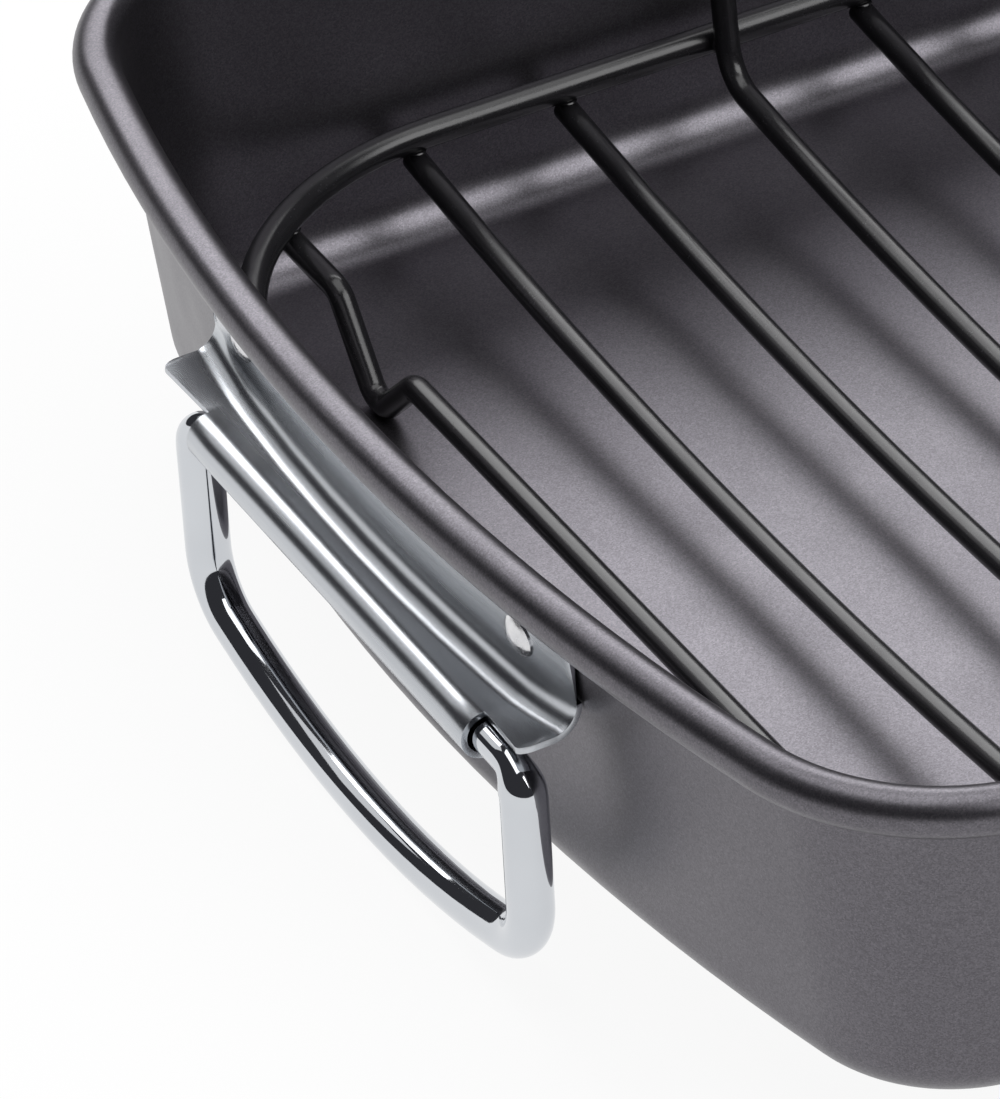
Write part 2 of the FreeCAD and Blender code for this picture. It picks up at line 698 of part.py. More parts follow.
for item in doc.Objects:
    if "Invalid" in item.State or "Error" in item.State:
        raise RuntimeError(f"{item.Label} did not compute: {item.State}")
for label, item in nodes.items():
    item.Label = label
    if item.Shape.isNull() or not item.Shape.isValid() or len(item.Shape.Solids) != 1:
        raise RuntimeError(f"{label} is not one valid solid")

os.makedirs("parts", exist_ok=True)
for label, item in sorted(nodes.items()):
    item.Shape.exportStep(f"parts/{label}.step")
    box = item.Shape.BoundBox
    print(f"{label}: {item.Shape.Volume:.0f} mm3, z {box.ZMin:.2f} to {box.ZMax:.2f}")
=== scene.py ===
# %% [markdown]
# # A roasting pan with a wire rack
# The object is a pressed steel pan with a rolled rim, a riveted chrome bracket with a swinging wire handle
# at each end, and a coated wire rack that lies loose inside. The CAD model is loaded first, because every
# new piece is made in its frame and takes its main sizes from it. Units are metres. X runs along the pan, Y
# away from the viewer and Z up.

# %% Load the CAD model
import math

import bmesh
import bpy
from mathutils import Matrix, Vector


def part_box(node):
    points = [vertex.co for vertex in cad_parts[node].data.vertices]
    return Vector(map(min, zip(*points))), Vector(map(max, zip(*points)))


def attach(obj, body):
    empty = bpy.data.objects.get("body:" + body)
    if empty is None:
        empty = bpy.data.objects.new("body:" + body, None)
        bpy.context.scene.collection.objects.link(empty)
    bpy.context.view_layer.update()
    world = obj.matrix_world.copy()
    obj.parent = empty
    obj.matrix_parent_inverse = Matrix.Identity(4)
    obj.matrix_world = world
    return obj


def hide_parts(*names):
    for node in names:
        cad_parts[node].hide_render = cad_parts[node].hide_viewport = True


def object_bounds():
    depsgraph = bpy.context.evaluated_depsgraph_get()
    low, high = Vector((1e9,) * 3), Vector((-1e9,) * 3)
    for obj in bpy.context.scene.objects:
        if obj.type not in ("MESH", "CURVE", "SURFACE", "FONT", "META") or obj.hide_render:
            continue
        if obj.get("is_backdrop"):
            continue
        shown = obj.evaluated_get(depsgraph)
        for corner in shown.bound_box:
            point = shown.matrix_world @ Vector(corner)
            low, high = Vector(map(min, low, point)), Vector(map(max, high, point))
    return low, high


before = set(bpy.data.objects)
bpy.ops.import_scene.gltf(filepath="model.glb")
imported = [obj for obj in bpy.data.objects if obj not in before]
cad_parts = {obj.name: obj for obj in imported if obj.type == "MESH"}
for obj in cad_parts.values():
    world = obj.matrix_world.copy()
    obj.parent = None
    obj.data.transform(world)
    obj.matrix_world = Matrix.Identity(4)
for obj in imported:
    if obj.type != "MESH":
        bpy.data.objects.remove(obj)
size_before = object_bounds()
MM = 0.001
MERGE = 0.002 * MM
NEAR = 0.01 * MM
X_AXIS = Vector((1, 0, 0))
Y_AXIS = Vector((0, 1, 0))
Z_AXIS = Vector((0, 0, 1))

# %% [markdown]
# ## Drawing a section
# Sheet metal is easiest to make as a section that is drawn once and then pulled along its path. A section
# needs only straight pieces and arcs, so two helpers are enough: one extrudes the last vertex to the next
# place, the other spins it about a centre. Each returns the new last vertex, and the section grows like a
# pencil line.

# %% Pencil helpers
def draw_to(bm, last, *places):
    """Straight edges from the last vertex through the places."""
    for place in places:
        last = bmesh.ops.extrude_vert_indiv(bm, verts=[last])["verts"][0]
        last.co = place
    return last


def draw_arc(bm, last, centre, axis, degrees, steps):
    """Arc from the last vertex about an axis through the centre."""
    angle = math.radians(degrees)
    spun = bmesh.ops.spin(bm, geom=[last], cent=centre, axis=axis, angle=angle, steps=steps)
    return next(item for item in spun["geom_last"] if isinstance(item, bmesh.types.BMVert))


# %% [markdown]
# ## Pulling a section along a path
# A press draws the sheet along straight sides and round corners. Here the section's edges are extruded for
# a straight run and spun for a bend. A run keeps a short stretch at both ends, so that smooth shading stays
# flat in the middle and only rounds where the metal does.

# %% Sweep helpers
def only(kind, items):
    """The items of one kind, such as vertices or edges."""
    return [item for item in items if isinstance(item, kind)]


def pull(bm, edges, offset):
    """Extrudes the edges by an offset and returns the new ones."""
    grown = bmesh.ops.extrude_edge_only(bm, edges=edges)["geom"]
    verts = only(bmesh.types.BMVert, grown)
    bmesh.ops.translate(bm, verts=verts, vec=offset)
    fresh = set(verts)
    return [edge for edge in only(bmesh.types.BMEdge, grown) if fresh.issuperset(edge.verts)]


def run(bm, edges, offset, hold=2 * MM):
    """A straight run in three stretches, with a short one at each end."""
    short = offset.normalized() * min(hold, offset.length / 4)
    for stretch in (short, offset - 2 * short, short):
        edges = pull(bm, edges, stretch)
    return edges


def turn(bm, edges, centre, axis, degrees, steps):
    """Spins the edges about an axis through the centre and returns the last ones."""
    verts = list({vert for edge in edges for vert in edge.verts})
    spun = bmesh.ops.spin(
        bm, geom=verts + edges, cent=centre, axis=axis, angle=math.radians(degrees), steps=steps)
    return only(bmesh.types.BMEdge, spun["geom_last"])


# %% [markdown]
# ## Handing a mesh over
# Every piece ends in the same way: doubles are merged, normals are turned outwards, faces are shaded smooth
# except at sharp edges, and the object is tied to the CAD body that it moves with. The CAD nodes that the
# piece stands for are hidden, and the piece gets its material.

# %% Finish helper
def hand_over(bm, name, material, body, nodes=(), outwards=True, sharp=40):
    """Makes the object of a finished bmesh and ties it to its CAD body."""
    bmesh.ops.remove_doubles(bm, verts=bm.verts, dist=MERGE)
    if outwards:
        bmesh.ops.recalc_face_normals(bm, faces=bm.faces)
    mesh = bpy.data.meshes.new(name)
    bm.to_mesh(mesh)
    bm.free()
    mesh.polygons.foreach_set("use_smooth", [True] * len(mesh.polygons))
    mesh.set_sharp_from_angle(angle=math.radians(sharp))
    mesh.materials.append(material)
    piece = bpy.data.objects.new(name, mesh)
    bpy.context.scene.collection.objects.link(piece)
    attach(piece, body)
    if nodes:
        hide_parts(*nodes)
    print(name, "rides on", body, "with", len(mesh.polygons), "faces")
    return piece


# %% [markdown]
# ## Finishes
# Five finishes cover the object: the dark coating of the pan, which holds fine metal flakes, the blacker
# coating of the rack, bright chrome on the handles, satin chrome on the brackets, and the steel of the
# rivets. Each starts from the Principled shader. What is the same everywhere is set on the shader's socket.
# What varies comes from noise in Object coordinates, so the pattern stays fixed to the metal when a piece
# moves.

# %% Helpers for finishes
def new_finish(name, metallic, specular=0.5):
    """A material with its Principled shader and the texture coordinates of the piece."""
    material = bpy.data.materials.new(name)
    material.use_nodes = True
    nodes = material.node_tree.nodes
    shader = nodes["Principled BSDF"]
    shader.inputs["Metallic"].default_value = metallic
    shader.inputs["Specular IOR Level"].default_value = specular
    place = nodes.new("ShaderNodeTexCoord").outputs["Object"]
    return material, shader, place


def add_node(material, kind, **settings):
    """A new node of the material, with some of its settings."""
    node = material.node_tree.nodes.new(kind)
    for key, value in settings.items():
        setattr(node, key, value)
    return node


def plug(material, source, target):
    """A link from one socket to another."""
    material.node_tree.links.new(source, target)


def cloudy(material, place, scale, detail=3.0):
    """Soft noise, as blotches of the given number per metre."""
    noise = add_node(material, "ShaderNodeTexNoise")
    noise.inputs["Scale"].default_value = scale
    noise.inputs["Detail"].default_value = detail
    plug(material, place, noise.inputs["Vector"])
    return noise.outputs["Fac"]


def between(material, value, low, high, start=0.3, end=0.7):
    """Spreads a noise value over the range from low to high."""
    spread = add_node(material, "ShaderNodeMapRange")
    for socket, number in (("From Min", start), ("From Max", end), ("To Min", low), ("To Max", high)):
        spread.inputs[socket].default_value = number
    plug(material, value, spread.inputs["Value"])
    return spread.outputs["Result"]


def ramp(material, value, *stops):
    """Colours along a value, as pairs of place and colour."""
    colours = add_node(material, "ShaderNodeValToRGB")
    points = colours.color_ramp.elements
    while len(points) < len(stops):
        points.new(1.0)
    for point, (where, colour) in zip(points, stops):
        point.position = where
        point.color = (*colour, 1.0)
    plug(material, value, colours.inputs["Fac"])
    return colours.outputs["Color"]


def flakes(material, place, scale):
    """One random value per cell of about 1 / scale metres, as for metal flakes in a coating."""
    cells = add_node(material, "ShaderNodeTexVoronoi")
    cells.inputs["Scale"].default_value = scale
    plug(material, place, cells.inputs["Vector"])
    split = add_node(material, "ShaderNodeSeparateColor")
    plug(material, cells.outputs["Color"], split.inputs["Color"])
    return split.outputs["Red"]


def tint(material, first, second, mode, amount):
    """Mixes two colours."""
    mix = add_node(material, "ShaderNodeMix", data_type="RGBA", blend_type=mode)
    mix.inputs["Factor"].default_value = amount
    plug(material, first, mix.inputs["A"])
    plug(material, second, mix.inputs["B"])
    return mix.outputs["Result"]


def relief(material, shader, height, strength, depth):
    """Bump on the shader from a height value."""
    bump = add_node(material, "ShaderNodeBump")
    bump.inputs["Strength"].default_value = strength
    bump.inputs["Distance"].default_value = depth
    plug(material, height, bump.inputs["Height"])
    plug(material, bump.outputs["Normal"], shader.inputs["Normal"])


# %% [markdown]
# ### Pan coating
# The pan has a satin non-stick coat, dark grey with a hint of violet. Light makes it look like metal,
# because the coat is full of aluminium flakes, so the shader is almost fully metallic with a dark colour.
# The rest scatters a little light, which keeps the deep corners from going black. Small cells of random
# brightness give the sparkle, wide soft noise makes the tone uneven, and a very fine bump breaks up the
# reflections.

# %% Pan coating
pan_coat, shader, place = new_finish("pan_coat", metallic=0.94)
tone = ramp(
    pan_coat, cloudy(pan_coat, place, 22.0),
    (0.3, (0.133, 0.126, 0.141)), (0.7, (0.145, 0.138, 0.153)))
spark = ramp(
    pan_coat, flakes(pan_coat, place, 4200.0),
    (0.0, (0.80, 0.80, 0.80)), (0.5, (1.0, 1.0, 1.0)),
    (0.94, (1.18, 1.18, 1.18)), (1.0, (1.32, 1.32, 1.31)))
plug(pan_coat, tint(pan_coat, tone, spark, "MULTIPLY", 1.0), shader.inputs["Base Color"])
gloss = between(pan_coat, cloudy(pan_coat, place, 60.0), 0.33, 0.38)
plug(pan_coat, gloss, shader.inputs["Roughness"])
relief(pan_coat, shader, cloudy(pan_coat, place, 3000.0, 2.0), 0.07, 0.05 * MM)
print("finish:", pan_coat.name)

# %% [markdown]
# ### Rack coating
# The wires have a blacker coat that is less metallic. Its highlights are satin, with the same fine sparkle.

# %% Rack coating
rack_coat, shader, place = new_finish("rack_coat", metallic=0.1, specular=0.6)
tone = ramp(
    rack_coat, cloudy(rack_coat, place, 45.0),
    (0.3, (0.011, 0.0105, 0.012)), (0.7, (0.016, 0.0155, 0.0175)))
spark = ramp(
    rack_coat, flakes(rack_coat, place, 3600.0),
    (0.0, (0.85, 0.85, 0.85)), (0.8, (1.0, 1.0, 1.0)),
    (0.95, (1.15, 1.15, 1.15)), (1.0, (1.8, 1.8, 1.8)))
plug(rack_coat, tint(rack_coat, tone, spark, "MULTIPLY", 1.0), shader.inputs["Base Color"])
gloss = between(rack_coat, cloudy(rack_coat, place, 90.0), 0.20, 0.27)
plug(rack_coat, gloss, shader.inputs["Roughness"])
relief(rack_coat, shader, cloudy(rack_coat, place, 2400.0, 2.0), 0.12, 0.05 * MM)
print("finish:", rack_coat.name)

# %% [markdown]
# ### Bright chrome
# The handles are chrome plated. The plating is almost a mirror, slightly blue. Faint clouds in the
# roughness stand for handling, and a shallow long-wave bump for the drawn wire under the plating, which
# makes the edges of the reflections waver a little.

# %% Bright chrome
bright_chrome, shader, place = new_finish("bright_chrome", metallic=1.0)
tone = ramp(
    bright_chrome, cloudy(bright_chrome, place, 40.0),
    (0.3, (0.58, 0.60, 0.63)), (0.7, (0.63, 0.65, 0.68)))
plug(bright_chrome, tone, shader.inputs["Base Color"])
gloss = between(bright_chrome, cloudy(bright_chrome, place, 130.0, 6.0), 0.03, 0.08)
plug(bright_chrome, gloss, shader.inputs["Roughness"])
relief(bright_chrome, shader, cloudy(bright_chrome, place, 170.0, 1.0), 0.06, 0.12 * MM)
print("finish:", bright_chrome.name)

# %% [markdown]
# ### Satin chrome
# The brackets are plated sheet. Rolling leaves fine lines along the strip, which the plating does not hide,
# so reflections are softer here than on the wire. The lines are noise that is stretched along Y, the length
# of the strip, in tone, roughness and a very shallow bump.

# %% Satin chrome
LINE_STRETCH = 0.03
satin_chrome, shader, place = new_finish("satin_chrome", metallic=1.0)
stretch = add_node(satin_chrome, "ShaderNodeVectorMath", operation="MULTIPLY")
stretch.inputs[1].default_value = (1.0, LINE_STRETCH, 1.0)
plug(satin_chrome, place, stretch.inputs[0])
drawn = stretch.outputs["Vector"]
tone = ramp(
    satin_chrome, cloudy(satin_chrome, drawn, 700.0),
    (0.3, (0.49, 0.51, 0.54)), (0.7, (0.55, 0.57, 0.60)))
plug(satin_chrome, tone, shader.inputs["Base Color"])
gloss = between(satin_chrome, cloudy(satin_chrome, drawn, 450.0), 0.23, 0.28)
plug(satin_chrome, gloss, shader.inputs["Roughness"])
relief(satin_chrome, shader, cloudy(satin_chrome, drawn, 500.0), 0.01, 0.05 * MM)
print("finish:", satin_chrome.name)

# %% [markdown]
# ### Rivet steel
# The rivets are plated too, but their heads were struck by a tool, which leaves them duller and slightly
# dimpled.

# %% Rivet steel
rivet_steel, shader, place = new_finish("rivet_steel", metallic=1.0)
tone = ramp(
    rivet_steel, cloudy(rivet_steel, place, 300.0),
    (0.3, (0.62, 0.62, 0.64)), (0.7, (0.74, 0.74, 0.75)))
plug(rivet_steel, tone, shader.inputs["Base Color"])
gloss = between(rivet_steel, cloudy(rivet_steel, place, 900.0), 0.14, 0.30)
plug(rivet_steel, gloss, shader.inputs["Roughness"])
relief(rivet_steel, shader, cloudy(rivet_steel, place, 700.0), 0.25, 0.1 * MM)
print("finish:", rivet_steel.name)

# %% [markdown]
# ## The pan
# The pan is one sheet of steel: flat base, round fillet, drafted wall, and an edge rolled outwards into a
# hollow bead. Its section is drawn in the YZ plane at the middle of the long side. It starts under the
# base, climbs the outside of the wall, follows the inside of the roll to its end, comes back along the
# outside of the roll and goes down the inside of the wall to the top of the base.

# %% Section of the pan
pan_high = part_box("pan_body")[1]
bead_radius = 3.8 * MM
pan_sheet = 1.0 * MM
curl_inside = bead_radius - pan_sheet
base_fillet = 9.0 * MM
WALL_SLOPE = 0.10
HOLD = 1.5 * MM
draft = math.atan(WALL_SLOPE)
draft_deg = math.degrees(draft)
CURL_DEG = 315.0 - draft_deg
FILLET_DEG = 90 - draft_deg
rim_half_length = pan_high.x - bead_radius
rim_half_width = pan_high.y - bead_radius
rim_level = pan_high.z - bead_radius
down = (rim_level + (curl_inside + base_fillet) * math.sin(draft) - base_fillet) / math.cos(draft)
floor_half_width = rim_half_width - (curl_inside + base_fillet) * math.cos(draft) - down * math.sin(draft)
rim_centre = Vector((0, rim_half_width, rim_level))
fillet_centre = Vector((0, floor_half_width, base_fillet))
wall_inwards = Vector((0, -math.cos(draft), math.sin(draft)))


def wall_line(bm, last, start, end):
    """Straight wall with a short stretch at each end."""
    step = (end - start).normalized() * HOLD
    return draw_to(bm, last, start + step, end - step, end)


pan = bmesh.new()
last = pan.verts.new((0, floor_half_width, 0))
last = draw_arc(pan, last, fillet_centre, X_AXIS, FILLET_DEG, 16)
last = wall_line(pan, last, last.co.copy(), rim_centre + wall_inwards * curl_inside)
last = draw_arc(pan, last, rim_centre, X_AXIS, -CURL_DEG, 30)
curl_end = (last.co - rim_centre).normalized()
last = draw_to(pan, last, rim_centre + curl_end * bead_radius)
last = draw_arc(pan, last, rim_centre, X_AXIS, CURL_DEG, 48)
inner_foot = fillet_centre - wall_inwards * (base_fillet - pan_sheet)
last = wall_line(pan, last, last.co.copy(), inner_foot)
last = draw_arc(pan, last, fillet_centre, X_AXIS, -FILLET_DEG, 16)
section = list(pan.edges)
print("section of the pan:", len(section), "edges")

# %% [markdown]
# Seen from above, the rim is a rectangle with round corners and slightly bowed ends. The section is pulled
# along half a side, spun round a corner, round the bowed end, round the next corner, and so on until it
# meets itself. The base is then closed above and below, with a narrow inset so that shading stays flat.

# %% Pan body
CORNER_RADIUS = 36 * MM
END_RADIUS = 500 * MM
BASE_INSET = 2 * MM


def bowed_corner(half_length, half_width, corner, end):
    """Centre of the corner arc, and half the angle of the bowed end in degrees."""
    y = half_width - corner
    x = half_length - end + math.sqrt((end - corner) ** 2 - y ** 2)
    return x, y, math.degrees(math.atan2(y, x - half_length + end))


corner_x, corner_y, spread = bowed_corner(rim_half_length, rim_half_width, CORNER_RADIUS, END_RADIUS)
edges = run(pan, section, X_AXIS * corner_x)
for side in (1, -1):
    first_corner = Vector((side * corner_x, side * corner_y, 0))
    end_centre = Vector((side * (rim_half_length - END_RADIUS), 0, 0))
    next_corner = Vector((side * corner_x, -side * corner_y, 0))
    edges = turn(pan, edges, first_corner, Z_AXIS, spread - 90, 22)
    edges = turn(pan, edges, end_centre, Z_AXIS, -2 * spread, 24)
    edges = turn(pan, edges, next_corner, Z_AXIS, spread - 90, 22)
    length = 2 * corner_x if side > 0 else corner_x
    edges = run(pan, edges, X_AXIS * (-side * length))
bmesh.ops.remove_doubles(pan, verts=pan.verts, dist=MERGE)
for level in (0.0, pan_sheet):
    rim_of_base = [
        edge for edge in pan.edges
        if edge.is_boundary and all(abs(vert.co.z - level) < NEAR for vert in edge.verts)]
    base = bmesh.ops.contextual_create(pan, geom=rim_of_base)["faces"]
    bmesh.ops.inset_region(pan, faces=base, thickness=BASE_INSET, use_even_offset=True)
hand_over(pan, "pan", pan_coat, "pan", ["pan_body"])

# %% [markdown]
# ## The two ends
# Bracket, rivets and handle are the same at both ends. They are modelled once, seen from the centre of the
# rim at the middle of an end, with X pointing outwards. A matrix then carries each copy to its end. The
# right end is only moved, and the left end is also turned half round.

# %% Places of the two ends
END_PLACES = {
    "right": Matrix.Translation((rim_half_length, 0, rim_level)),
    "left": Matrix.Translation((-rim_half_length, 0, rim_level)) @ Matrix.Rotation(math.pi, 4, "Z"),
}
BRACKET_SHEET = 1.05 * MM
SEAT_GAP = 0.05 * MM
BARREL_OUT = 1.4 * MM
BARREL_DOWN = 28.5 * MM
BARREL_RADIUS = 4.25 * MM
RIVET_DOWN = 13 * MM
barrel_axis = Vector((BARREL_OUT, 0, -BARREL_DOWN))
bracket_half = 60 * MM
barrel_half = 46.3 * MM


def wall_out(depth):
    """Outer face of the end wall, outwards from the rim, at a depth below the rim's centre."""
    return -curl_inside / math.cos(draft) - math.tan(draft) * depth


def bow_at(y):
    """How far the bowed end wall falls back at a place along it, at the level of the rivets."""
    radius = END_RADIUS + wall_out(RIVET_DOWN)
    return radius - math.sqrt(radius ** 2 - y ** 2)


print("ends at", [tuple(round(n, 4) for n in place.translation) for place in END_PLACES.values()])

# %% [markdown]
# ## Bracket
# The bracket is a strip of sheet metal: a flange that lies on the wall, a hollow, and a lip whose middle
# part is rolled into the barrel for the handle. Past the barrel the lip goes on and flares up and out, with
# round corners. The face of the sheet is drawn as a line and pulled along Y in stops. The roll is a second
# line that starts at the lip's edge. The ends are bowed and flared by moving vertices, and Solidify and
# Bevel give the sheet its thickness and its soft edges.

# %% Face of the bracket
BRACKET_TOP = 7 * MM
COVE = 4.5 * MM
FLARE_UP = 2.0 * MM
FLARE_OUT = 1.6 * MM
FLARE_POWER = 1.4
ROLL_DEG = 316
HALF_STOPS = [0, 13, 26, 40, 46.3, 47.6, 50, 53, 56, 58.5, 60]
face = (SEAT_GAP + BRACKET_SHEET) / math.cos(draft)
lip = -barrel_axis.z - BARREL_RADIUS
tangent = lip - COVE - COVE * math.sin(draft)
cove_x = wall_out(tangent) + face + COVE * math.cos(draft)
stops = [-stop for stop in reversed(HALF_STOPS[1:])] + HALF_STOPS


def pull_along(bm, edges, places):
    """Pulls edges from the first place along Y to each of the next ones."""
    for before, after in zip(places, places[1:]):
        edges = pull(bm, edges, Y_AXIS * (after - before))


def bracket_face():
    """The outer face of the bracket: flange, hollow, flared lip and roll."""
    bm = bmesh.new()
    places = [stop * MM for stop in stops]
    start = Vector((wall_out(BRACKET_TOP) + face, places[0], -BRACKET_TOP))
    foot = Vector((wall_out(tangent) + face, places[0], -tangent))
    last = bm.verts.new(start)
    last = wall_line(bm, last, start, foot)
    last = draw_arc(bm, last, Vector((cove_x, 0, COVE - lip)), Y_AXIS, draft_deg - 90, 12)
    draw_to(bm, last, Vector((barrel_axis.x, places[0], -lip)))
    pull_along(bm, list(bm.edges), places)

    for vert in bm.verts:
        past_barrel = max(0.0, (abs(vert.co.y) - barrel_half) / (bracket_half - barrel_half))
        flare = past_barrel ** FLARE_POWER
        on_lip = min(1.0, max(0.0, (vert.co.x - cove_x) / (barrel_axis.x - cove_x)))
        rise = FLARE_UP * flare if vert.co.z <= -tangent + NEAR else 0.0
        along_wall = rise * math.tan(draft) - bow_at(vert.co.y)
        vert.co.x += FLARE_OUT * flare * on_lip + along_wall * (1 - on_lip)
        vert.co.z += rise

    barrel = [place for place in places if abs(place) <= barrel_half + NEAR]
    known = set(bm.edges)
    last = bm.verts.new((barrel_axis.x, barrel[0], -lip))
    draw_arc(bm, last, barrel_axis, Y_AXIS, ROLL_DEG, 44)
    pull_along(bm, [edge for edge in bm.edges if edge not in known], barrel)
    bmesh.ops.remove_doubles(bm, verts=bm.verts, dist=MERGE)
    return bm


trial = bracket_face()
print("face of the bracket:", len(trial.faces), "faces")
trial.free()

# %% [markdown]
# The lip's corners are rounded before the sheet gets its thickness, by a bevel on the two corner vertices.
# The sheet grows away from its face, towards the wall and into the barrel.

# %% Brackets
LIP_CORNER = 3.0 * MM
EDGE_ROUND = 0.22 * MM
EDGE_DEG = 50


def face_outwards(bm):
    """Turns the faces so that the flange looks away from the wall."""
    bmesh.ops.recalc_face_normals(bm, faces=bm.faces)
    flange = max(bm.faces, key=lambda f: f.calc_center_median().z)
    if flange.normal.x < 0:
        bmesh.ops.reverse_faces(bm, faces=bm.faces)


for end, place in END_PLACES.items():
    bracket = bracket_face()
    tips = sorted(bracket.verts, key=lambda v: v.co.x + abs(v.co.y))[-2:]
    bmesh.ops.bevel(
        bracket, geom=tips, offset=LIP_CORNER, segments=6, profile=0.5, affect="VERTICES", material=-1)
    face_outwards(bracket)
    bmesh.ops.transform(bracket, matrix=place, verts=bracket.verts)
    piece = hand_over(
        bracket, f"{end}_handle_bracket", satin_chrome, "pan", [f"{end}_bracket"],
        outwards=False)
    sheet = piece.modifiers.new("sheet", "SOLIDIFY")
    sheet.thickness = BRACKET_SHEET
    sheet.offset = -1.0
    soft = piece.modifiers.new("soft_edges", "BEVEL")
    soft.width = EDGE_ROUND
    soft.segments = 3
    soft.limit_method = "ANGLE"
    soft.angle_limit = math.radians(EDGE_DEG)

# %% [markdown]
# ## Rivets
# Two rivets hold each bracket. A rivet is a round part: a low dome outside, a shank, and a flat head inside
# the pan. Its section is drawn in the XZ plane and spun once round the X axis.

# %% Rivet helper
RIVET_HEAD = 3.5 * MM
RIVET_SHANK = 2.0 * MM
RIVET_DOME = 1.4 * MM
RIVET_TAIL = 0.8 * MM
RIVET_EDGE = 0.25 * MM
rivet_grip = BRACKET_SHEET + pan_sheet + 2 * SEAT_GAP


def turned_rivet():
    """A rivet along X, with its outer head above x = 0."""
    bm = bmesh.new()
    dome = RIVET_DOME - RIVET_EDGE
    ball = (RIVET_HEAD ** 2 + dome ** 2) / (2 * dome)
    reach = math.degrees(math.asin(RIVET_HEAD / ball))
    last = bm.verts.new((RIVET_DOME, 0, 0))
    last = draw_arc(bm, last, Vector((RIVET_DOME - ball, 0, 0)), Y_AXIS, -reach, 10)
    tail = -rivet_grip - RIVET_TAIL
    last = draw_to(
        bm, last, (0, 0, RIVET_HEAD), (0, 0, RIVET_SHANK), (-rivet_grip, 0, RIVET_SHANK),
        (-rivet_grip, 0, RIVET_HEAD), (tail + RIVET_EDGE, 0, RIVET_HEAD),
        (tail, 0, RIVET_HEAD - RIVET_EDGE), (tail, 0, 0))
    bmesh.ops.spin(
        bm, geom=list(bm.verts) + list(bm.edges), cent=(0, 0, 0), axis=X_AXIS, angle=2 * math.pi, steps=40,
        use_merge=True)
    bmesh.ops.remove_doubles(bm, verts=bm.verts, dist=MERGE)
    return bm


# %% [markdown]
# Each rivet goes to its place on the bowed flange. It is turned along the bow and tilted with the wall, so
# that its head sits flat on the flange.

# %% Rivets
rivet_half_spacing = 46 * MM
flange_radius = END_RADIUS + wall_out(RIVET_DOWN) + face
for end, place in END_PLACES.items():
    for row, sign in (("front", -1), ("back", 1)):
        side = sign if end == "right" else -sign
        swing = math.asin(side * rivet_half_spacing / flange_radius)
        tilt = Matrix.Rotation(swing, 4, "Z") @ Matrix.Rotation(draft, 4, "Y")
        spot_x = flange_radius * math.cos(swing) - END_RADIUS
        spot = Vector((spot_x, flange_radius * math.sin(swing), -RIVET_DOWN))
        rivet = turned_rivet()
        bmesh.ops.transform(rivet, matrix=place @ Matrix.Translation(spot) @ tilt, verts=rivet.verts)
        hand_over(rivet, f"{end}_rivet_{row}_head", rivet_steel, "pan", [f"{end}_rivet_{row}"])

# %% [markdown]
# ## Bending wire
# Handles and rack are bent from round wire. A wire bender feeds a straight length, then bends it by an
# angle over a radius, and so on. The class below does the same with a ring of edges: feeding extrudes it,
# bending spins it about the centre of the bend, and swelling changes its thickness over a short length.
# Bends turn about the wire's plane normal, and a positive angle turns left when that normal points at the
# viewer.

# %% Wire bender
class Wire:
    """A round wire that grows from its first ring, step by step."""

    def __init__(self, place, heading, normal, radius, sides=24):
        self.bm = bmesh.new()
        self.place = Vector(place)
        self.heading = Vector(heading).normalized()
        self.normal = Vector(normal).normalized()
        ring = bmesh.ops.create_circle(self.bm, segments=sides, radius=radius)["verts"]
        aim = self.heading.to_track_quat("Z", "Y").to_matrix().to_4x4()
        bmesh.ops.transform(self.bm, matrix=Matrix.Translation(self.place) @ aim, verts=ring)
        self.rim = list(self.bm.edges)

    def feed(self, length):
        """A straight length."""
        self.rim = run(self.bm, self.rim, self.heading * length, hold=1 * MM)
        self.place += self.heading * length

    def bend(self, radius, degrees, step=6.0):
        """A bend over a radius, in steps of at most the given degrees."""
        towards = self.normal.cross(self.heading) * math.copysign(radius, degrees)
        centre = self.place + towards
        steps = math.ceil(abs(degrees) / step)
        self.rim = turn(self.bm, self.rim, centre, self.normal, degrees, steps)
        spin = Matrix.Rotation(math.radians(degrees), 3, self.normal)
        self.place = centre + spin @ (self.place - centre)
        self.heading = spin @ self.heading

    def swell(self, factor):
        """Scales the last ring about the wire's centre."""
        verts = list({vert for edge in self.rim for vert in edge.verts})
        about = Matrix.Translation(-self.place)
        bmesh.ops.scale(self.bm, vec=(factor,) * 3, space=about, verts=verts)

    def cap(self, round_edge=0.0):
        """Closes both open ends, with a rounded edge where one is given."""
        ends = [edge for edge in self.bm.edges if edge.is_boundary]
        bmesh.ops.holes_fill(self.bm, edges=ends, sides=0)
        if round_edge:
            bmesh.ops.bevel(
                self.bm, geom=ends, offset=round_edge, segments=3, profile=0.5, affect="EDGES", material=-1)


# %% [markdown]
# ## Handles
# A handle is one wire: a thin pin in the barrel, a bend in which the wire swells to its full thickness, a
# leg, a corner and a bowed grip. One half is bent from the middle of the grip outwards, in a plane square
# to the pan's length, and mirrored. The handle hangs from the barrel's axis and lies to one side of its
# play there.

